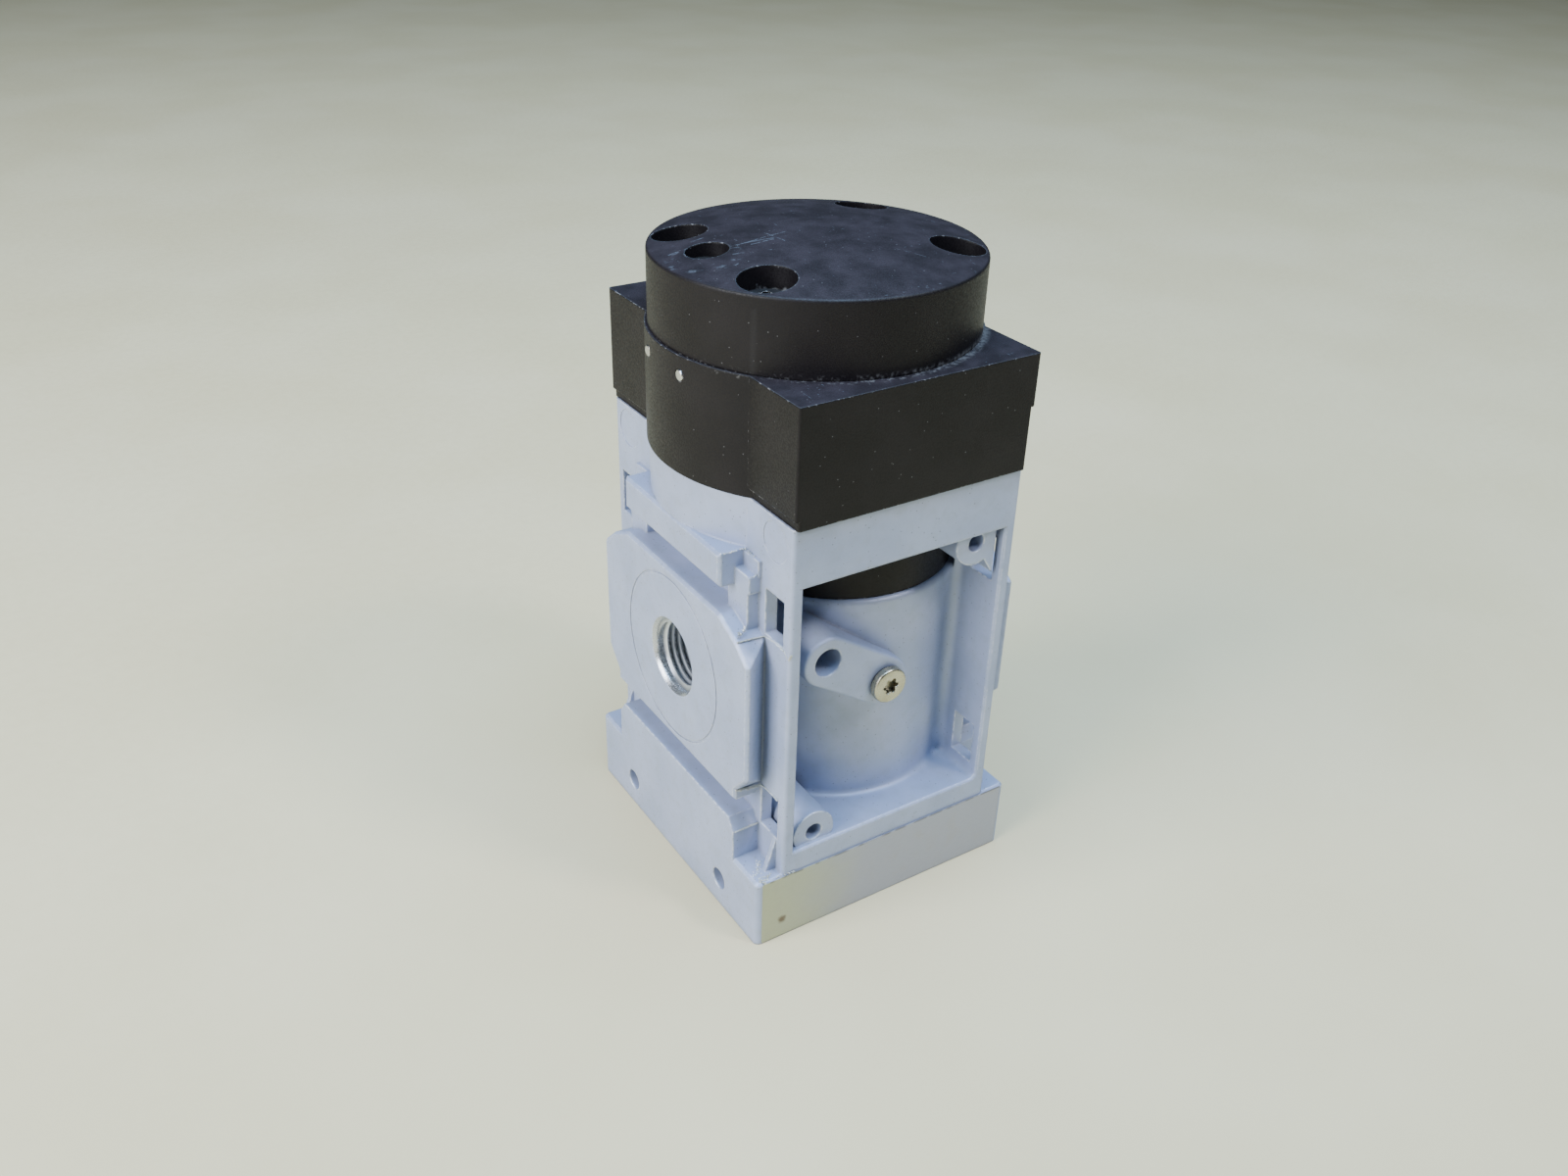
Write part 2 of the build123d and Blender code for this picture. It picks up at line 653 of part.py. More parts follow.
# blanking screw of the gauge tapping, with its sealing ring
plug_head_radius = 2.4
plug_head_height = 0.95
plug_seal_thickness = 0.35
plug_seal_y = lug_face_y - plug_seal_thickness
with BuildPart() as gauge_plug_screw:
    rod((gauge_tap[0], plug_seal_y, gauge_tap[1]), plug_head_height, plug_head_radius, (0, -1, 0))
    fillet(gauge_plug_screw.edges().sort_by(Axis.Y)[0], radius=0.3)
    rod((gauge_tap[0], plug_seal_y, gauge_tap[1]), 7.0, gauge_tap_radius - 0.05, (0, 1, 0))
    with BuildSketch(Plane.XZ.offset(-(plug_seal_y - plug_head_height))):
        with Locations(gauge_tap):
            Circle(0.85)
            with PolarLocations(0.85, 6):
                Circle(0.3)
    extrude(amount=-0.75, mode=Mode.SUBTRACT)
finish_piece(gauge_plug_screw, "gauge_plug_screw")

with BuildPart() as gauge_plug_seal:
    rod((gauge_tap[0], lug_face_y, gauge_tap[1]), plug_seal_thickness, 2.15, (0, -1, 0))
    rod((gauge_tap[0], lug_face_y, gauge_tap[1]), 1.0, gauge_tap_radius, (0, -1, 0), mode=Mode.SUBTRACT)
finish_piece(gauge_plug_seal, "gauge_plug_seal")

# --- fixed pieces inside the housing -----------------------------------------
seat_outer = main_bore - 0.03
with BuildPart() as valve_seat_ring:
    turn(
        valve_plane,
        [
            (seat_opening, 24.9),
            (seat_opening + 0.3, seat_lip_z),
            (seat_opening + 0.7, seat_lip_z),
            (seat_opening + 1.1, seat_shoulder_z),
            (seat_outer, seat_shoulder_z),
            (seat_outer, seat_groove_z),
            (seat_outer - groove_depth, seat_groove_z),
            (seat_outer - groove_depth, seat_groove_z + groove_width),
            (seat_outer, seat_groove_z + groove_width),
            (seat_outer, 29.0),
            (seat_opening + 0.6, 29.0),
            (seat_opening, 28.0),
        ],
    )
finish_piece(valve_seat_ring, "valve_seat_ring")

with BuildPart() as seat_ring_seal:
    with Locations((valve_x, 0, seat_groove_z + groove_width / 2)):
        Torus(seat_outer - 0.65, ring_section)
finish_piece(seat_ring_seal, "seat_ring_seal")

guide_outer = main_bore - 0.03
stem_clearance = 0.05
guide_bore = stem_radius + stem_clearance
with BuildPart() as stem_guide:
    turn(
        valve_plane,
        [
            (guide_bore, 46.0),
            (5.0, 46.0),
            (guide_outer, 49.0),
            (guide_outer, guide_groove_z),
            (guide_outer - groove_depth, guide_groove_z),
            (guide_outer - groove_depth, guide_groove_z + groove_width),
            (guide_outer, guide_groove_z + groove_width),
            (guide_outer, guide_flange_z),
            (guide_flange_radius - 0.05, guide_flange_z),
            (guide_flange_radius - 0.05, housing_top),
            (7.2, housing_top),
            (7.2, 53.0),
            (4.4, 51.0),
            (guide_bore, 51.0),
            (guide_bore, 49.2),
            (4.0, 49.2),
            (4.0, 47.6),
            (guide_bore, 47.6),
        ],
    )
    # breathing slots in the rim, towards the back
    block((valve_x - 0.8, 6.0, 58.2), (valve_x + 0.8, 10.0, housing_top), mode=Mode.SUBTRACT)
finish_piece(stem_guide, "stem_guide")

with BuildPart() as guide_seal:
    with Locations((valve_x, 0, guide_groove_z + groove_width / 2)):
        Torus(guide_outer - 0.65, ring_section)
finish_piece(guide_seal, "guide_seal")

stem_seal_section = 0.68
with BuildPart() as stem_seal:
    with Locations((valve_x, 0, 48.4)):
        Torus(4.0 - stem_seal_section - 0.02, stem_seal_section)
finish_piece(stem_seal, "stem_seal")

with BuildPart() as throttle_seat:
    turn(
        throttle_plane,
        [
            (0.9, throttle_seat_z),
            (throttle_seat_radius, throttle_seat_z),
            (throttle_seat_radius, throttle_seat_z + throttle_seat_height),
            (1.2, throttle_seat_z + throttle_seat_height),
            (0.9, throttle_seat_z + throttle_seat_height - 0.3),
        ],
    )
finish_piece(throttle_seat, "throttle_seat")

# --- main valve: stem, piston and poppet, sliding as one ---------------------
with BuildPart() as valve_stem:
    turn(
        valve_plane,
        [
            (0, 17.4),
            (1.6, 17.4),
            (stem_thread_radius, 17.8),
            (stem_thread_radius, poppet_top),
            (stem_radius, poppet_top),
            (stem_radius, piston_underside),
            (stem_thread_radius, piston_underside),
            (stem_thread_radius, 72.3),
            (1.6, 72.7),
            (0, 72.7),
        ],
    )
finish_piece(valve_stem, "valve_stem")

piston_outer = piston_bore - 0.3
piston_groove = 7.4
with BuildPart() as control_piston:
    turn(
        valve_plane,
        [
            (stem_thread_radius, piston_underside),
            (3.8, piston_underside),
            (4.2, 65.4),
            (piston_outer, 65.4),
            (piston_outer, 66.4),
            (piston_groove, 66.4),
            (piston_groove, 68.2),
            (piston_outer, 68.2),
            (piston_outer, 69.2),
            (piston_outer - 0.3, piston_topside),
            (stem_thread_radius, piston_topside),
        ],
    )
finish_piece(control_piston, "control_piston")

with BuildPart() as piston_seal:
    turn(
        valve_plane,
        [
            (piston_groove, 66.5),
            (8.3, 66.5),
            (piston_bore - 0.06, 66.9),
            (piston_bore - 0.06, 67.7),
            (8.3, 68.1),
            (piston_groove, 68.1),
        ],
    )
finish_piece(piston_seal, "piston_seal")

with BuildPart() as poppet:
    turn(
        valve_plane,
        [
            (stem_thread_radius, poppet_underside),
            (4.4, poppet_underside),
            (4.8, 21.4),
            (poppet_radius, 21.4),
            (poppet_radius, 24.2),
            (6.9, 24.2),
            (6.9, poppet_top),
            (stem_thread_radius, poppet_top),
        ],
    )
finish_piece(poppet, "poppet")

with BuildPart() as poppet_seal:
    turn(
        valve_plane,
        [
            (stem_radius + 0.05, poppet_top),
            (6.85, poppet_top),
            (6.85, seat_lip_z - 0.05),
            (4.6, seat_lip_z - 0.05),
            (3.2, 23.8),
            (stem_radius + 0.05, 23.8),
        ],
    )
finish_piece(poppet_seal, "poppet_seal")


def hex_nut(z_low, height, across_flats):
    """Adds a hexagon nut on the stem's thread."""
    with BuildSketch(Plane.XY.offset(z_low), mode=Mode.PRIVATE) as outline:
        with Locations((valve_x, 0)):
            RegularPolygon(across_flats / 2, 6, major_radius=False)
            Circle(stem_thread_radius, mode=Mode.SUBTRACT)
    extrude(outline.sketch, amount=height)


with BuildPart() as piston_nut:
    hex_nut(piston_topside, 2.2, 7.0)
finish_piece(piston_nut, "piston_nut")

with BuildPart() as poppet_nut:
    hex_nut(poppet_underside - 2.7, 2.7, 7.0)
finish_piece(poppet_nut, "poppet_nut")

# closing spring under the poppet
spring_bottom = inlet_chamber_floor + spring_wire_radius
spring_top = 21.4 - spring_wire_radius - 0.02
spring_pitch = (spring_top - spring_bottom) / spring_turns
with BuildPart() as main_spring:
    with BuildLine():
        coil = Helix(
            pitch=spring_pitch,
            height=spring_top - spring_bottom,
            radius=spring_coil_radius,
            center=(valve_x, 0, spring_bottom + 0.01),
        )
    with BuildSketch(Plane(origin=coil @ 0, z_dir=coil % 0)):
        Circle(spring_wire_radius)
    sweep(is_frenet=True)
finish_piece(main_spring, "main_spring")

# --- throttle: spindle turns, needle slides ----------------------------------
seal_groove_radius = 3.4
pin_groove_radius = pin_offset - pin_radius - 0.07
with BuildPart() as throttle_spindle:
    turn(
        throttle_plane,
        [
            (1.6, spindle_foot_z),
            (spindle_radius, spindle_foot_z),
            (spindle_radius, 67.9),
            (seal_groove_radius, 67.9),
            (seal_groove_radius, 69.2),
            (spindle_radius, 69.2),
            (spindle_radius, pin_z - pin_radius - 0.1),
            (pin_groove_radius, pin_z - pin_radius - 0.1),
            (pin_groove_radius, pin_z + pin_radius + 0.1),
            (spindle_radius, pin_z + pin_radius + 0.1),
            (spindle_radius, spindle_collar_top),
            (spindle_neck_radius, spindle_collar_top),
            (spindle_neck_radius, spindle_top - 0.2),
            (spindle_neck_radius - 0.2, spindle_top),
            (0, spindle_top),
            (0, 77.4),
            (1.6, 77.0),
        ],
    )
    slot_low = (throttle_x - 3, throttle_y - 0.4, spindle_top - 1.1)
    slot_high = (throttle_x + 3, throttle_y + 0.4, spindle_top + 0.1)
    block(slot_low, slot_high, mode=Mode.SUBTRACT)
finish_piece(throttle_spindle, "throttle_spindle")

with BuildPart() as spindle_seal:
    with Locations((throttle_x, throttle_y, 68.55)):
        Torus(3.93, 0.5)
finish_piece(spindle_seal, "spindle_seal")

needle_key_z = 64.2
with BuildPart() as throttle_needle:
    turn(
        throttle_plane,
        [
            (0, 61.5),
            (0.35, 61.5),
            (0.72, 62.8),
            (1.05, 63.9),
            (1.5, needle_key_z),
            (1.5, 75.0),
            (0, 75.0),
        ],
    )
    key_low = (throttle_x - 2.75, throttle_y - 0.72, needle_key_z)
    key_high = (throttle_x + 2.75, throttle_y + 0.72, needle_key_z + 1.2)
    block(key_low, key_high)
finish_piece(throttle_needle, "throttle_needle")
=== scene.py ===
import bpy
import json
import math
import random
from mathutils import Matrix, Vector


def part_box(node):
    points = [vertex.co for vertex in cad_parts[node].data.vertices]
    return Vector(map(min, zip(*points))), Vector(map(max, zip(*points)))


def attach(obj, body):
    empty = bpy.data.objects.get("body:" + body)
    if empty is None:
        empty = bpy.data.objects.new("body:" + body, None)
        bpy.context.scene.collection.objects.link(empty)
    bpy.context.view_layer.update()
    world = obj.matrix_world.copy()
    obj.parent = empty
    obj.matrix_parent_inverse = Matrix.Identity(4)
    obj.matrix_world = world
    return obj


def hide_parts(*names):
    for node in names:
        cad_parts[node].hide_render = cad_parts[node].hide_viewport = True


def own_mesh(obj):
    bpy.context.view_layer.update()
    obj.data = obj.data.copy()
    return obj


# Soft-start valve module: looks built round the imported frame. Everything is in metres in the row frame,
# with the inlet at -x, the label and the lug at the front (-y) and the cap on top.
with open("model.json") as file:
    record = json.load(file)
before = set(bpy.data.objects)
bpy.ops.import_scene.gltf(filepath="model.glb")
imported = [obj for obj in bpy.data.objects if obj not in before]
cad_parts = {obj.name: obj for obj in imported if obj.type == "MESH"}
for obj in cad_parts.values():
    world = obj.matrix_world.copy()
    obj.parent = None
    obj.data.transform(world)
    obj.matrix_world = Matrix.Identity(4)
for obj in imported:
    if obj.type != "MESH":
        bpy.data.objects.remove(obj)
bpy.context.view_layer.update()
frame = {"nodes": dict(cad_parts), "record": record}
MM = 0.001


# --- sizes read from the frame -----------------------------------------------
inlet = next(mount for mount in frame["record"]["mounts"] if mount["name"] == "port_inlet")
port_z = inlet["pos_m"][2]
thread_radius = inlet["dims"]["r_mm"] * MM
thread_length = inlet["dims"]["length_mm"] * MM
housing_low, housing_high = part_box("housing")
half_width = housing_high.x
label_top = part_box("marking_label")[1].z
cap_low, cap_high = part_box("cap_cover")
cap_radius = (cap_high.x - cap_low.x) / 2
spindle_low, spindle_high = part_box("throttle_spindle")
throttle_axis = ((spindle_low.x + spindle_high.x) / 2, (spindle_low.y + spindle_high.y) / 2)


# --- marks of use, placed as in the photo ------------------------------------
RESIDUE_HOLE = (-12.9 * MM, -9.6 * MM)  # the counterbore at the front left, in plan
RESIDUE_HOLE_RADIUS = 3.3 * MM
WEAR_MIDDLE = (throttle_axis[0] - 1.3 * MM, throttle_axis[1] - 1.5 * MM)
WEAR_RADIUS = 3.9 * MM
STAIN = (-16.2 * MM, -21.4 * MM, 2.8 * MM)
# scratches on the crown: start, end and width, in plan
SCRATCHES = [((x1 * MM, y1 * MM), (x2 * MM, y2 * MM), w * MM) for x1, y1, x2, y2, w in (
    (-10.8, 0.1, -3.4, 0.8, 0.10), (-9.9, 0.2, -4.8, -0.6, 0.13), (-9.4, -0.7, -6.6, -0.7, 0.16),
    (-11.5, 0.3, -8.3, 0.2, 0.08), (-14.0, 5.0, -12.3, 5.2, 0.14), (-17.7, 3.3, -16.2, 3.5, 0.15),
    (-8.9, -3.3, -8.2, -3.6, 0.10), (-12.8, -1.9, -11.9, -2.1, 0.12), (4.2, -9.4, 6.4, -12.6, 0.05),
    (-13.9, -4.7, -13.4, -4.5, 0.12), (-11.9, 2.1, -11.2, 2.5, 0.10), (-6.2, 1.7, -5.8, -1.9, 0.09))]


# --- materials ---------------------------------------------------------------
PLAN = (1, 1, 0)  # the axes seen from above
ROUND_PORTS = (0, 1, 1)  # the axes square to the ports
RAY_SAMPLES = 6  # for rounded edges and for open sky


class Finish:
    """A procedural material under construction. Lengths are in metres, in the row frame."""

    def __init__(self, name, metallic=0.0, roughness=0.5):
        self.material = bpy.data.materials.new(name)
        self.material.use_nodes = True
        self.tree = self.material.node_tree
        self.surface = self.tree.nodes["Principled BSDF"]
        self.surface.inputs["Metallic"].default_value = metallic
        self.surface.inputs["Roughness"].default_value = roughness
        self.place = self.node("TexCoord").outputs["Object"]
        self.facing = self.node("NewGeometry").outputs["Normal"]

    def node(self, kind, settings=None, **inputs):
        made = self.tree.nodes.new("ShaderNode" + kind)
        for name, value in (settings or {}).items():
            setattr(made, name, value)
        for name, value in inputs.items():
            self.feed(made.inputs[name], value)
        return made

    def feed(self, socket, value):
        """Link a node's output to a socket, or set a constant on it."""
        if isinstance(value, bpy.types.NodeSocket):
            self.tree.links.new(value, socket)
        else:
            socket.default_value = value

    def math(self, operation, *values):
        made = self.node("Math", {"operation": operation})
        for socket, value in zip(made.inputs, values):
            self.feed(socket, value)
        return made.outputs[0]

    def product(self, first, *others):
        for other in others:
            first = self.math("MULTIPLY", first, other)
        return first

    def gap(self, value, target):
        """How far value is from target, either way."""
        return self.math("ABSOLUTE", self.math("SUBTRACT", value, target))

    def vector(self, operation, *values):
        made = self.node("VectorMath", {"operation": operation})
        for socket, value in zip(made.inputs, values):
            self.feed(socket, value)
        return made.outputs[1 if operation in ("DOT_PRODUCT", "LENGTH") else 0]

    def part(self, axis, source=None):
        """One component of a vector, the object coordinates unless another is given."""
        split = self.node("SeparateXYZ", Vector=source or self.place)
        return split.outputs[axis]

    def away(self, centre, axes):
        """The way from centre to the shaded point, along the given axes only."""
        return self.vector("MULTIPLY", self.vector("SUBTRACT", self.place, centre), axes)

    def distance(self, centre, axes=(1, 1, 1)):
        return self.vector("LENGTH", self.away(centre, axes))

    def noise(self, size, detail=3.0, stretch=(1, 1, 1), shift=0.0):
        """Soft grey noise from 0 to 1, with features about size across."""
        scale = tuple(s / size for s in stretch)
        spread = self.vector("MULTIPLY_ADD", self.place, scale, (shift, 0.7 * shift, 1.3 * shift))
        return self.node("TexNoise", Vector=spread, Scale=1.0, Detail=detail).outputs[0]

    def cells(self, size, shift=0.0):
        """Distance to scattered points, for specks and pits."""
        spread = self.vector("MULTIPLY_ADD", self.place, (1 / size,) * 3, (shift,) * 3)
        return self.node("TexVoronoi", Vector=spread, Scale=1.0).outputs["Distance"]

    def ramp(self, value, low, high, start=0.0, end=1.0):
        """A smooth step from start to end, as value goes from low to high."""
        made = self.node("MapRange", {"interpolation_type": "SMOOTHSTEP"})
        for socket, number in zip(made.inputs, (value, low, high, start, end)):
            self.feed(socket, number)
        return made.outputs[0]

    def mix(self, factor, first, second):
        """The first colour where factor is 0, the second where it is 1."""
        made = self.node("Mix", {"data_type": "RGBA", "blend_type": "MIX", "clamp_factor": True})
        self.feed(made.inputs[0], factor)
        for socket, value in ((made.inputs[6], first), (made.inputs[7], second)):
            self.feed(socket, value if isinstance(value, bpy.types.NodeSocket) else (*value, 1.0))
        return made.outputs[2]

    def scratch(self, start, end, width):
        """1 on a straight mark between two points in plan, 0 away from it."""
        run = Vector((end[0] - start[0], end[1] - start[1], 0))
        away = self.away((*start, 0), PLAN)
        along = self.vector("DOT_PRODUCT", away, tuple(run / run.length_squared))
        held = self.node("Clamp", Value=along).outputs[0]
        nearest = self.node("VectorMath", {"operation": "SCALE"}, Vector=tuple(run), Scale=held).outputs[0]
        gap = self.vector("LENGTH", self.vector("SUBTRACT", away, nearest))
        return self.ramp(gap, 0.3 * width, width, 1.0, 0.0)

    def rounding(self, radius):
        """Normal that is rounded off near edges."""
        return self.node("Bevel", {"samples": RAY_SAMPLES}, Radius=radius).outputs["Normal"]

    def edge(self, rounded):
        """0 on flat ground, towards 1 at an edge."""
        turned = self.math("SUBTRACT", 1.0, self.vector("DOT_PRODUCT", rounded, self.facing))
        return self.ramp(turned, 0.01, 0.22)

    def open_sky(self, distance):
        """1 on open surfaces, towards 0 in corners and crevices."""
        return self.node("AmbientOcclusion", {"samples": RAY_SAMPLES}, Distance=distance).outputs["AO"]

    def relief(self, height, depth, normal):
        """Fine bumps of the given depth on top of a normal."""
        return self.node("Bump", Distance=depth, Height=height, Strength=1.0, Normal=normal).outputs[0]

    def finish(self, colour, roughness, normal=None, metallic=None):
        self.feed(self.surface.inputs["Base Color"], colour)
        self.feed(self.surface.inputs["Roughness"], roughness)
        for name, value in (("Normal", normal), ("Metallic", metallic)):
            if value is not None:
                self.feed(self.surface.inputs[name], value)
        return self.material


def cast_metal():
    """Coated die casting: satin grain, bright worn edges, brown painted shade in the corners, cut faces in the ports.
    """
    coated_metallic, cut_metallic = 0.25, 0.85
    bore_radius, bore_start = 5.3 * MM, 8.5 * MM  # the bare bores of the ports
    m = Finish("cast_metal", metallic=coated_metallic)
    rounded = m.rounding(0.45 * MM)
    edge = m.edge(rounded)
    grain = m.noise(0.30 * MM, 4.0)
    cloud = m.noise(7 * MM, 3.0, shift=4.1)
    fine_cloud = m.noise(1.6 * MM, 4.0, shift=9.3)
    sky = m.open_sky(1.8 * MM)
    # the coating, in clouds of two sizes
    colour = m.mix(m.ramp(cloud, 0.3, 0.7), (0.32, 0.375, 0.54), (0.375, 0.43, 0.60))
    colour = m.mix(m.ramp(fine_cloud, 0.45, 0.75, 0.0, 0.35), colour, (0.29, 0.33, 0.42))
    # dark specks, and painted shade in the corners
    specks = m.ramp(m.cells(0.9 * MM), 0.06, 0.13, 0.6, 0.0)
    colour = m.mix(specks, colour, (0.13, 0.12, 0.12))
    # painted shade: brown where the open-sky mask finds corners and crevices
    ragged_sky = m.math("MULTIPLY_ADD", m.noise(1.1 * MM, 4.0, shift=2.2), 0.25, sky)
    colour = m.mix(m.ramp(ragged_sky, 0.45, 0.85, 0.38, 0.0), colour, (0.12, 0.11, 0.11))
    # bright metal where open edges are worn
    wear = m.product(edge, m.ramp(m.noise(0.8 * MM, 3.0, shift=6.0), 0.35, 0.6), m.ramp(sky, 0.55, 0.9))
    colour = m.mix(wear, colour, (0.86, 0.88, 0.92))
    # bare metal in the ports
    from_axis = m.distance((0, 0, port_z), ROUND_PORTS)
    near_face = m.ramp(m.math("ABSOLUTE", m.part(0)), bore_start - 0.5 * MM, bore_start + 0.5 * MM)
    in_port = m.product(m.ramp(from_axis, bore_radius + 0.05 * MM, bore_radius - 0.05 * MM), near_face)
    colour = m.mix(in_port, colour, (0.50, 0.53, 0.58))
    rough = m.math("MULTIPLY_ADD", in_port, -0.2, m.ramp(grain, 0.3, 0.7, 0.38, 0.56))
    height = m.math("MULTIPLY_ADD", fine_cloud, 0.9, grain)
    height = m.product(height, m.math("SUBTRACT", 1.0, in_port))
    metallic = m.math("MULTIPLY_ADD", in_port, cut_metallic - coated_metallic, coated_metallic)
    return m.finish(colour, rough, m.relief(height, 0.016 * MM, rounded), metallic)


def cut_thread():
    """Freshly tapped aluminium: bright, with a fine turned grain and painted shade in the roots."""
    m = Finish("cut_thread", metallic=0.85)
    # painted shade: darker grey towards the roots between the crests
    root = m.ramp(m.distance((0, 0, port_z), ROUND_PORTS), thread_radius - 0.45 * MM, thread_radius, 0.0, 0.7)
    grain = m.noise(0.35 * MM, 3.0, stretch=(4, 1, 1))
    colour = m.mix(root, (0.62, 0.66, 0.72), (0.24, 0.25, 0.28))
    return m.finish(colour, m.ramp(grain, 0.3, 0.7, 0.30, 0.42))


def packed_dust(m):
    """How much pale dust is packed into the corner under the cap, thickest on the outlet side."""
    at_rim = m.ramp(m.gap(m.distance((0, 0, 0), PLAN), cap_radius + 0.25 * MM), 0.1 * MM, 0.9 * MM, 1.0, 0.0)
    at_foot = m.ramp(m.gap(m.part(2), cap_low.z), 0.3 * MM, 0.8 * MM, 1.0, 0.0)
    ragged = m.math("MULTIPLY_ADD", m.part(0), 8.0, m.noise(0.5 * MM, 5.0, shift=1.7))
    return m.product(at_rim, at_foot, m.ramp(ragged, 0.42, 0.70), 0.6)


def counterbore_residue(m):
    """How much residue is on the wall of the counterbore, low down."""
    at_wall = m.gap(m.distance((*RESIDUE_HOLE, 0), PLAN), RESIDUE_HOLE_RADIUS)
    ragged = m.math("MULTIPLY_ADD", m.noise(0.8 * MM, 5.0, shift=4.4), -2.4 * MM, m.part(2))
    low_down = m.ramp(ragged, cap_high.z - 5.0 * MM, cap_high.z - 4.4 * MM, 1.0, 0.0)
    return m.product(m.ramp(at_wall, 0.2 * MM, 0.5 * MM, 1.0, 0.0), low_down, 0.8)


def crown_marks(m, up):
    """How strong the wear round the throttle hole, the scratches and the small dashes on the crown are."""
    at_ring = m.ramp(m.gap(m.distance((*WEAR_MIDDLE, 0), PLAN), WEAR_RADIUS), 0.1 * MM, 0.7 * MM, 0.8, 0.0)
    marks = m.product(at_ring, m.ramp(m.noise(1.3 * MM, 4.0, stretch=(1, 2, 1), shift=2.9), 0.50, 0.62))
    for start, end, width in SCRATCHES:
        marks = m.math("MAXIMUM", marks, m.scratch(start, end, width))
    for stretch, shift in (((7, 1, 1), 0.4), ((1, 7, 1), 5.2), ((5, 5, 1), 9.9)):
        dashes = m.ramp(m.noise(1.6 * MM, 1.0, stretch=stretch, shift=shift), 0.765, 0.785)
        marks = m.math("MAXIMUM", marks, dashes)
    patchy = m.ramp(m.noise(0.6 * MM, 3.0, shift=7.7), 0.38, 0.56)
    return m.product(marks, patchy, m.ramp(up, 0.85, 0.97), 0.6)


def black_plastic():
    """Matt black glass-filled moulding with fine grain, pale nicks on its edges, marks of use, a dusty film on the tops
    that also stands in for painted light, and a painted highlight along the upper rims.
    """
    m = Finish("black_plastic")
    m.surface.inputs["Specular IOR Level"].default_value = 0.22
    rounded = m.rounding(0.30 * MM)
    edge = m.edge(rounded)
    grain = m.noise(0.22 * MM, 4.0)
    cloud = m.noise(6 * MM, 4.0, shift=3.0)
    up = m.part(2, m.facing)
    colour = m.mix(m.ramp(cloud, 0.3, 0.7), (0.0045, 0.0036, 0.0048), (0.0075, 0.0060, 0.0076))
    # up-facing faces turn paler: partly settled dust, partly painted light on the tops
    dust_and_painted_top_light = m.product(m.ramp(up, 0.6, 1.0), m.ramp(m.noise(3 * MM, 5.0, shift=8.0), 0.3, 0.75, 0.25, 0.75))
    colour = m.mix(dust_and_painted_top_light, colour, (0.032, 0.026, 0.033))
    colour = m.mix(packed_dust(m), colour, (0.15, 0.15, 0.155))
    colour = m.mix(counterbore_residue(m), colour, (0.17, 0.175, 0.19))
    colour = m.mix(crown_marks(m, up), colour, (0.10, 0.115, 0.14))
    # painted highlight along the rims that face up, then pale specks and nicks
    colour = m.mix(m.product(edge, m.ramp(up, 0.15, 0.5), 0.45), colour, (0.10, 0.12, 0.14))
    colour = m.mix(m.ramp(m.cells(1.3 * MM, 3.0), 0.035, 0.07, 0.55, 0.0), colour, (0.16, 0.16, 0.17))
    nick = m.product(edge, m.ramp(m.noise(0.5 * MM, 3.0, shift=5.0), 0.56, 0.66), 0.8)
    colour = m.mix(nick, colour, (0.30, 0.30, 0.32))
    normal = m.relief(m.math("MULTIPLY_ADD", cloud, 0.8, grain), 0.02 * MM, rounded)
    return m.finish(colour, m.ramp(grain, 0.3, 0.7, 0.40, 0.58), normal)


def foil_label():
    """Blank matt foil label, yellowed at its left end, with one small stain."""
    m = Finish("foil_label", metallic=0.2)
    grain = m.noise(0.25 * MM, 3.0, stretch=(0.3, 1, 1))
    across = m.math("MULTIPLY_ADD", m.noise(6 * MM, 3.0), 8 * MM, m.part(0))
    colour = m.mix(m.ramp(across, -14 * MM, 2 * MM), (0.42, 0.44, 0.30), (0.35, 0.365, 0.42))
    soil = m.ramp(m.noise(2.5 * MM, 5.0, shift=2.0), 0.5, 0.8, 0.0, 0.35)
    colour = m.mix(soil, colour, (0.36, 0.34, 0.31))
    from_stain = m.math("MULTIPLY_ADD", m.noise(0.7 * MM, 4.0, shift=3.3), 0.9 * MM, m.distance(STAIN))
    colour = m.mix(m.ramp(from_stain, 0.7 * MM, 1.25 * MM, 0.85, 0.0), colour, (0.10, 0.055, 0.03))
    # the lifted upper edge, dark in places
    patchy = m.ramp(m.noise(1.8 * MM, 4.0, stretch=(1, 1, 0.2), shift=6.1), 0.40, 0.55)
    rim = m.product(m.ramp(m.part(2), label_top - 0.30 * MM, label_top - 0.12 * MM), patchy, 0.7)
    colour = m.mix(rim, colour, (0.11, 0.10, 0.10))
    normal = m.relief(grain, 0.006 * MM, m.rounding(0.1 * MM))
    return m.finish(colour, m.ramp(grain, 0.3, 0.7, 0.42, 0.58), normal)


def metal(name, tone, shade, roughness, grain_size, stretch=(1, 1, 1), metallic=1.0, rounding=0.15):
    """Plain metal with a drawn or turned grain, darker patches, brighter edges and painted shade in the corners. Sizes
    in millimetres.
    """
    m = Finish(name, metallic=metallic)
    rounded = m.rounding(rounding * MM)
    edge = m.edge(rounded)
    grain = m.noise(grain_size * MM, 3.0, stretch=stretch)
    patch = m.noise(2.2 * MM, 4.0, shift=7.0)
    bright = tuple(min(1.0, 0.25 + 1.1 * value) for value in tone)
    dark = tuple(0.25 * value for value in shade)
    colour = m.mix(m.ramp(patch, 0.35, 0.7), tone, shade)
    colour = m.mix(m.product(edge, m.ramp(patch, 0.3, 0.6, 0.2, 0.8)), colour, bright)
    # painted shade: darker where the open-sky mask finds corners and crevices
    colour = m.mix(m.ramp(m.open_sky(1.2 * MM), 0.35, 0.9, 0.6, 0.0), colour, dark)
    rough = m.ramp(grain, 0.3, 0.7, roughness - 0.08, roughness + 0.1)
    return m.finish(colour, rough, m.relief(grain, 0.006 * MM, rounded))


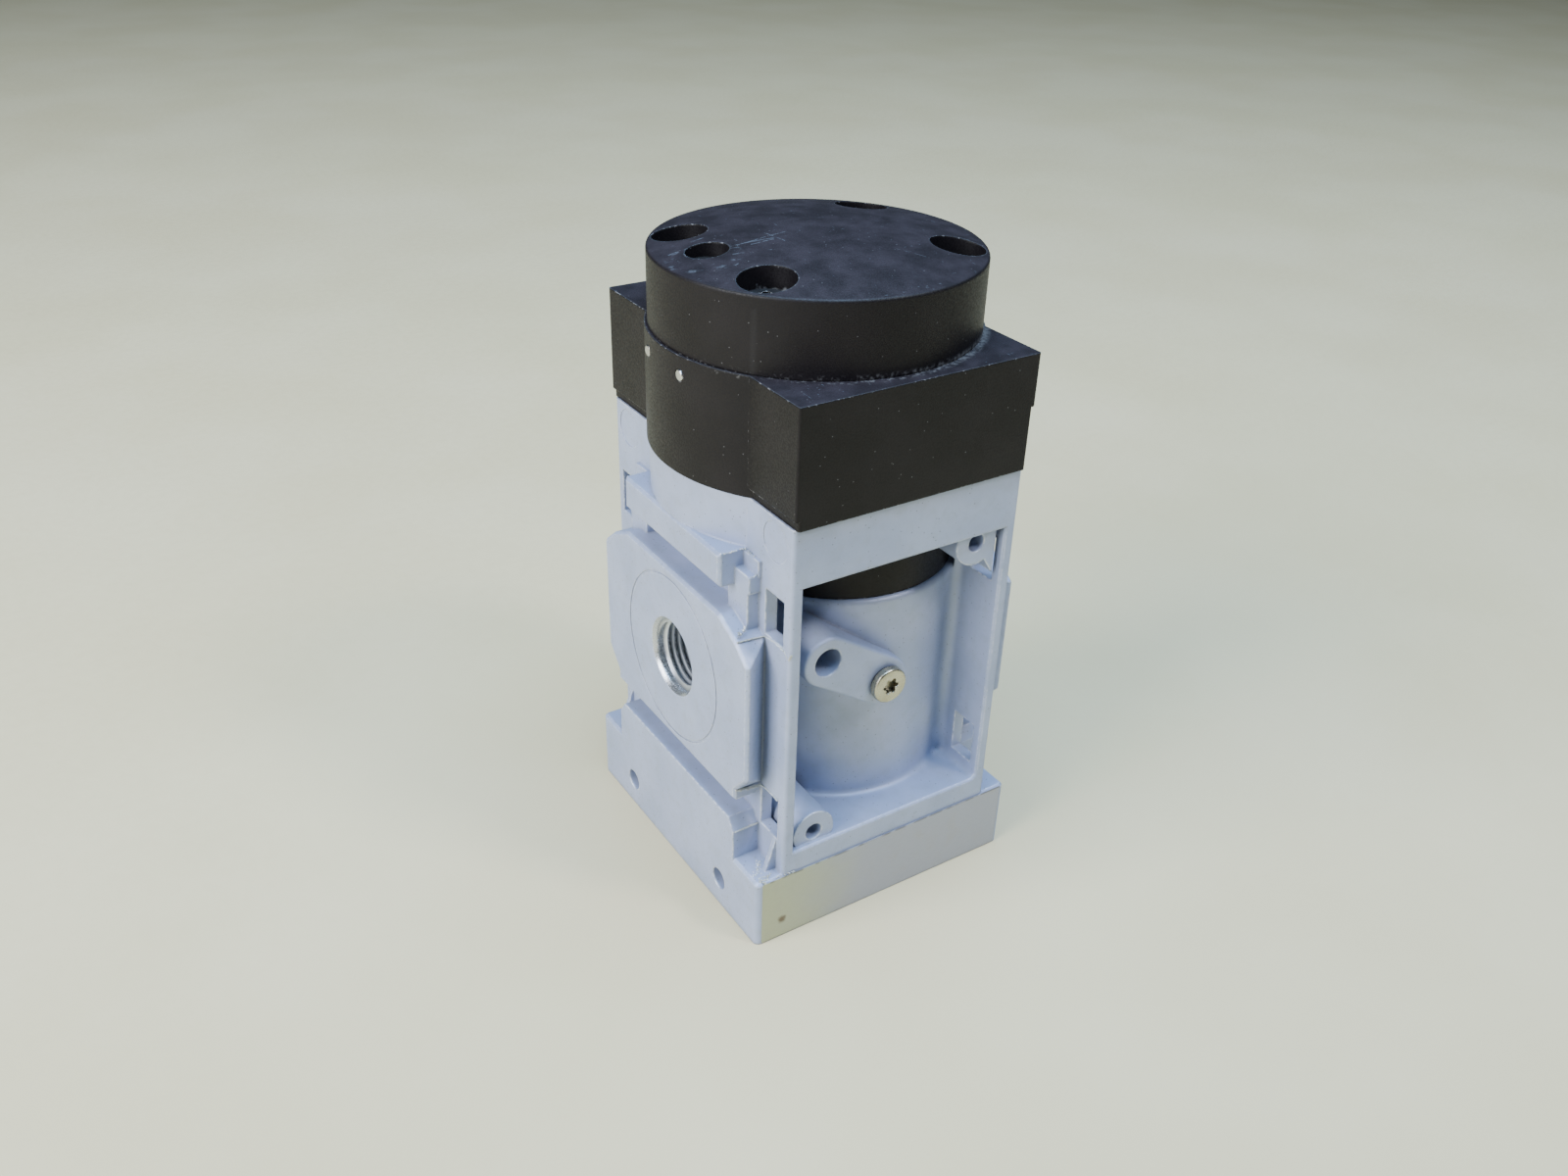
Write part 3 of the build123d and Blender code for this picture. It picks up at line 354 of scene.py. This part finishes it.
def rubber():
    """Black nitrile with a little grey bloom."""
    m = Finish("rubber")
    bloom = m.noise(1.5 * MM, 4.0)
    colour = m.mix(m.ramp(bloom, 0.4, 0.75), (0.012, 0.012, 0.013), (0.035, 0.034, 0.034))
    normal = m.relief(m.noise(0.2 * MM), 0.008 * MM, m.rounding(0.1 * MM))
    return m.finish(colour, m.ramp(bloom, 0.3, 0.7, 0.5, 0.7), normal)


def acetal():
    """White moulded acetal, slightly translucent."""
    m = Finish("acetal")
    m.surface.inputs["Subsurface Weight"].default_value = 0.1
    m.surface.inputs["Subsurface Radius"].default_value = (0.5 * MM, 0.4 * MM, 0.3 * MM)
    cloud = m.noise(3 * MM, 3.0)
    colour = m.mix(m.ramp(cloud, 0.3, 0.7), (0.74, 0.73, 0.69), (0.80, 0.79, 0.76))
    normal = m.relief(m.noise(0.3 * MM), 0.006 * MM, m.rounding(0.2 * MM))
    return m.finish(colour, m.ramp(cloud, 0.3, 0.7, 0.3, 0.42), normal)


def floor_paint():
    """Pale warm floor, nearly even."""
    m = Finish("floor_paint")
    cloud = m.noise(60 * MM, 3.0)
    colour = m.mix(m.ramp(cloud, 0.3, 0.7), (0.62, 0.52, 0.31), (0.66, 0.56, 0.35))
    return m.finish(colour, m.ramp(m.noise(2 * MM), 0.3, 0.7, 0.55, 0.7))


TURNED = (1, 1, 6)  # grain drawn out round the upright axis
finishes = {
    "die_cast_aluminium": cast_metal(),
    "label_foil": foil_label(),
    "black_moulding": black_plastic(),
    "black_rubber": rubber(),
    "zinc_steel": metal("zinc_steel", (0.50, 0.48, 0.38), (0.38, 0.36, 0.27), 0.32, 0.25),
    "black_steel": metal("black_steel", (0.045, 0.045, 0.05), (0.03, 0.028, 0.028), 0.38, 0.2, metallic=0.7),
    "bright_steel": metal("bright_steel", (0.62, 0.62, 0.63), (0.50, 0.50, 0.52), 0.25, 0.15, TURNED),
    "spring_steel": metal("spring_steel", (0.42, 0.42, 0.43), (0.30, 0.30, 0.31), 0.3, 0.2),
    "brass": metal("brass", (0.68, 0.50, 0.22), (0.55, 0.39, 0.16), 0.28, 0.15, TURNED),
    "turned_aluminium": metal("turned_aluminium", (0.72, 0.73, 0.75), (0.6, 0.61, 0.63), 0.3, 0.15, TURNED),
    "white_acetal": acetal(),
}
# two finishes for added pieces that belong to the die casting's slot
threads = cut_thread()
torn = metal("torn_casting", (0.70, 0.73, 0.74), (0.42, 0.44, 0.42), 0.5, 0.12, metallic=0.3, rounding=0.03)

slots = {row["node"]: row["material_slot"] for row in frame["record"]["subparts"]}
for name, thing in frame["nodes"].items():
    thing.data.materials.clear()
    thing.data.materials.append(finishes[slots[name]])


# --- pieces of mesh work -----------------------------------------------------
def piece(name, points, faces, body, slot, smooth=False, finish=None):
    """A closed mesh piece that rides on a body. It takes the finish of its slot unless another is given."""
    mesh = bpy.data.meshes.new(name)
    mesh.from_pydata([tuple(p) for p in points], [], faces)
    mesh.validate()
    mesh.update()
    if smooth:
        mesh.shade_smooth()
    else:
        mesh.shade_flat()
    made = bpy.data.objects.new(name, mesh)
    bpy.context.scene.collection.objects.link(made)
    mesh.materials.append(finish or finishes[slot])
    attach(made, body)
    return made


def tube_faces(rings, corners):
    """Faces of a closed tube of rings, each with the same number of corners, and its two end caps."""
    faces = []
    for ring in range(rings - 1):
        for corner in range(corners):
            beside = (corner + 1) % corners
            a, b = ring * corners, (ring + 1) * corners
            faces.append((a + corner, a + beside, b + beside, b + corner))
    faces.append(tuple(reversed(range(corners))))
    faces.append(tuple(range((rings - 1) * corners, rings * corners)))
    return faces


THREAD_PITCH = 0.907 * MM
THREAD_DEPTH = 0.58 * MM
THREAD_SUNK = 0.03 * MM  # how far the ridge is rooted in the wall
THREAD_STEPS = 64  # rings in a turn
THREAD_FADE = 12  # rings over which each end of the ridge runs out
PORT_MOUTH = 0.5 * MM  # plain stretch inside the face


def port_thread(name, side):
    """The ridge of the female thread in a port: a helix of a blunt triangle, rooted in the wall."""
    turns = (thread_length - PORT_MOUTH) / THREAD_PITCH
    rings = int(turns * THREAD_STEPS) + 1
    half_root, half_crest = 0.42 * THREAD_PITCH, 0.10 * THREAD_PITCH
    root = thread_radius + THREAD_SUNK
    points = []
    for ring in range(rings):
        angle = 2 * math.pi * ring / THREAD_STEPS
        along = half_width - PORT_MOUTH - half_root - THREAD_PITCH * ring / THREAD_STEPS
        fade = min(1.0, ring / THREAD_FADE, (rings - 1 - ring) / THREAD_FADE)
        crest = root - (THREAD_DEPTH + THREAD_SUNK) * (0.08 + 0.92 * fade)
        for reach, radius in ((-half_root, root), (-half_crest, crest), (half_crest, crest), (half_root, root)):
            points.append((side * (along + reach), radius * math.cos(angle), port_z + radius * math.sin(angle)))
    piece(name, points, tube_faces(rings, 4), "body", "die_cast_aluminium", finish=threads)


SPRING_TURNS = 6.0
SPRING_CLOSED_TURNS = 0.75  # at each end
SPRING_END_GAP = 0.06  # share of the height left free at each end
SPRING_WIRE_RADIUS = 0.5 * MM
SPRING_STEPS, SPRING_CORNERS = 40, 10  # rings in a turn, corners in a ring


def closing_spring():
    """Compression spring with closed ends, standing for the plain coil of the frame."""
    low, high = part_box("main_spring")
    middle = (low + high) / 2
    bottom, top = low.z, high.z
    radius = (high.x - low.x) / 2 - SPRING_WIRE_RADIUS
    rings = int(SPRING_TURNS * SPRING_STEPS) + 1
    rise = top - bottom - 2 * SPRING_WIRE_RADIUS
    closed = SPRING_CLOSED_TURNS / SPRING_TURNS
    points = []
    for ring in range(rings):
        share = ring / (rings - 1)
        eased = min(max((share - closed) / (1 - 2 * closed), 0.0), 1.0)
        climb = SPRING_END_GAP + (1 - 2 * SPRING_END_GAP) * eased + 0.04 * (share - eased)
        height = bottom + SPRING_WIRE_RADIUS + rise * climb
        angle = 2 * math.pi * SPRING_TURNS * share
        for corner in range(SPRING_CORNERS):
            turn = 2 * math.pi * corner / SPRING_CORNERS
            reach = radius + SPRING_WIRE_RADIUS * math.cos(turn)
            # ground flat where the wire would pass the ends
            z = min(max(height + SPRING_WIRE_RADIUS * math.sin(turn), bottom), top)
            points.append((middle.x + reach * math.cos(angle), middle.y + reach * math.sin(angle), z))
    made = piece("closing_spring", points, tube_faces(rings, SPRING_CORNERS), "body", "spring_steel", smooth=True)
    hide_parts("main_spring")
    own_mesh(made)


FLASH_STEP = 0.22  # all sizes of flash are in millimetres
FLASH_HALF_THICKNESS = (0.10, 0.17)
FLASH_SUNK = 0.1


def flash_line(name, path, lean, height, seed):
    """A thin torn ridge of casting flash along a path, leaning out of the surface."""
    draw = random.Random(seed)
    lean = Vector(lean).normalized()
    stations = []
    for start, end in zip(path, path[1:]):
        start, end = Vector(start) * MM, Vector(end) * MM
        steps = max(3, int((end - start).length / (FLASH_STEP * MM)))
        stations += [(start.lerp(end, step / steps), (end - start).normalized()) for step in range(steps)]
    stations.append((Vector(path[-1]) * MM, stations[-1][1]))
    sink = lean * -FLASH_SUNK * MM
    points = []
    for place, run in stations:
        side = run.cross(lean).normalized() * draw.uniform(*FLASH_HALF_THICKNESS) * MM
        tip = lean * height * draw.uniform(0.35, 1.0) * MM
        points += [place - side + sink, place + side + sink, place + side * 0.3 + tip, place - side * 0.3 + tip]
    piece(name, points, tube_faces(len(stations), 4), "body", "die_cast_aluminium", finish=torn)


GRAIN_FACES = ((0, 2, 4), (2, 1, 4), (1, 3, 4), (3, 0, 4), (2, 0, 5), (1, 2, 5), (3, 1, 5), (0, 3, 5))


def crumbs(name, lines, count, seed):
    """Rough grains of flash along lines: start, end, spread and largest grain, all in millimetres."""
    draw = random.Random(seed)
    points, faces = [], []
    for _ in range(count):
        start, end, spread, largest = draw.choice(lines)
        middle = Vector(start).lerp(Vector(end), draw.random())
        middle += Vector([draw.gauss(0, 0.5) * s for s in spread])
        grain = largest * draw.uniform(0.35, 1.0) ** 1.5
        first = len(points)
        # a skewed octahedron
        for axis in range(3):
            for sign in (-1, 1):
                corner = Vector([draw.uniform(-0.3, 0.3) for _ in range(3)])
                corner[axis] += sign * draw.uniform(0.6, 1.2)
                points.append((middle + corner * grain) * MM)
        faces += [(first + a, first + c, first + b) for a, b, c in GRAIN_FACES]
    piece(name, points, faces, "body", "die_cast_aluminium", finish=torn)


port_thread("port_thread_inlet", -1)
port_thread("port_thread_outlet", 1)
closing_spring()
for name, path, lean, height, seed in (
    ("flash_plate_top", ((-19.8, -15.6, 42.8), (-18.0, -15.7, 42.8), (-16.25, -15.9, 42.75)), (0, -1, 0.8), 0.34, 1),
    ("flash_wall_top", ((-16.2, -15.9, 42.75), (-16.2, -18.0, 43.1), (-16.2, -20.0, 43.0)), (-1, 0, 0.2), 0.22, 2),
    ("flash_pillar", ((-16.15, -20.0, 43.0), (-16.15, -20.9, 42.2), (-16.1, -21.4, 43.2)), (-1, 0, 0.2), 0.14, 3),
    ("flash_plate_low", ((-19.8, -15.6, 21.2), (-18.0, -15.75, 21.0), (-16.25, -15.95, 20.95)), (0, -1, -0.5), 0.32, 4),
    ("flash_wall_low", ((-16.2, -15.95, 20.95), (-16.2, -17.8, 21.05), (-16.2, -19.8, 21.0)), (-1, 0, 0.3), 0.2, 5),
    ("flash_shoulder", ((-19.7, -15.45, 14.4), (-18.2, -15.5, 14.45), (-16.3, -15.5, 14.5)), (0, -1, 0.6), 0.26, 6),
):
    flash_line(name, path, lean, height, seed)
crumbs("crumbs_foot", (((-19.3, -20.9, 10.1), (-17.4, -20.4, 10.1), (0.5, 0.6, 0.05), 0.24),
                       ((-18.9, -19.4, 10.1), (-17.3, -17.2, 10.1), (0.7, 0.5, 0.05), 0.20),
                       ((-17.5, -21.2, 10.1), (-14.5, -21.3, 10.1), (0.2, 0.15, 0.05), 0.15)), 150, 7)
crumbs("crumbs_rail", (((-19.6, -11.7, 52.5), (-16.6, -11.7, 52.5), (0.3, 0.15, 0.1), 0.16),
                       ((-16.5, -11.7, 52.5), (-16.3, -14.9, 52.1), (0.1, 0.2, 0.1), 0.15),
                       ((-17.7, -14.6, 50.3), (-16.3, -14.8, 50.5), (0.1, 0.1, 0.1), 0.14),
                       ((-19.7, -15.4, 43.2), (-18.0, -14.6, 43.9), (0.2, 0.3, 0.2), 0.22)), 130, 8)


# --- floor, light and camera -------------------------------------------------
FLOOR_HALF_SIZE = 1.5
FLOOR_GAP = 0.02 * MM  # under the foot
LIT_POINT = Vector((0, 0, 0.045))  # about the middle of the module
LENS, SENSOR_WIDTH = 31.564, 36.0  # millimetres
CAMERA_PLACE = (-0.088912, -0.129258, 0.128800)
AZIMUTH, ELEVATION, ROLL = math.radians(-33.549), math.radians(30.551), math.radians(1.777)


def floor():
    size = FLOOR_HALF_SIZE
    drop = housing_low.z - FLOOR_GAP
    mesh = bpy.data.meshes.new("floor")
    mesh.from_pydata([(-size, -size, drop), (size, -size, drop), (size, size, drop), (-size, size, drop)],
                     [], [(0, 1, 2, 3)])
    mesh.materials.append(floor_paint())
    made = bpy.data.objects.new("floor", mesh)
    bpy.context.scene.collection.objects.link(made)


def area_light(name, place, size, power, colour):
    """A square lamp that points at the middle of the module."""
    lamp = bpy.data.lights.new(name, "AREA")
    lamp.size = size
    lamp.energy = power
    lamp.color = colour
    made = bpy.data.objects.new(name, lamp)
    made.location = place
    made.rotation_mode = "QUATERNION"
    made.rotation_quaternion = (LIT_POINT - Vector(place)).to_track_quat("-Z", "Y")
    bpy.context.scene.collection.objects.link(made)


def daylight(strength, colour):
    """Even light from all round."""
    world = bpy.data.worlds.new("daylight")
    world.use_nodes = True
    sky = world.node_tree.nodes["Background"]
    sky.inputs["Color"].default_value = (*colour, 1.0)
    sky.inputs["Strength"].default_value = strength
    bpy.context.scene.world = world


def camera():
    """Above the front left corner, as far round and as high as a person at a bench looks."""
    lens = bpy.data.cameras.new("camera")
    lens.lens, lens.sensor_width = LENS, SENSOR_WIDTH
    lens.clip_start, lens.clip_end = 0.01, 10.0
    made = bpy.data.objects.new("camera", lens)
    back = Vector((math.sin(AZIMUTH) * math.cos(ELEVATION), -math.cos(AZIMUTH) * math.cos(ELEVATION),
                   math.sin(ELEVATION)))
    level = (-back).cross(Vector((0, 0, 1))).normalized()
    upright = level.cross(-back).normalized()
    right = math.cos(ROLL) * level + math.sin(ROLL) * upright
    up = -math.sin(ROLL) * level + math.cos(ROLL) * upright
    turned = Matrix((right, up, back)).transposed().to_4x4()
    made.matrix_world = Matrix.Translation(CAMERA_PLACE) @ turned
    bpy.context.scene.collection.objects.link(made)
    bpy.context.scene.camera = made


floor()
daylight(0.07, (0.80, 0.90, 1.0))
area_light("key", (0.26, -0.42, 0.60), 0.12, 2.5, (0.98, 0.96, 1.0))
area_light("window", (-0.62, -0.03, 0.38), 0.45, 9.6, (0.95, 0.97, 1.0))
area_light("ceiling", (0.03, -0.06, 0.80), 0.55, 14.0, (0.45, 0.70, 1.0))
camera()
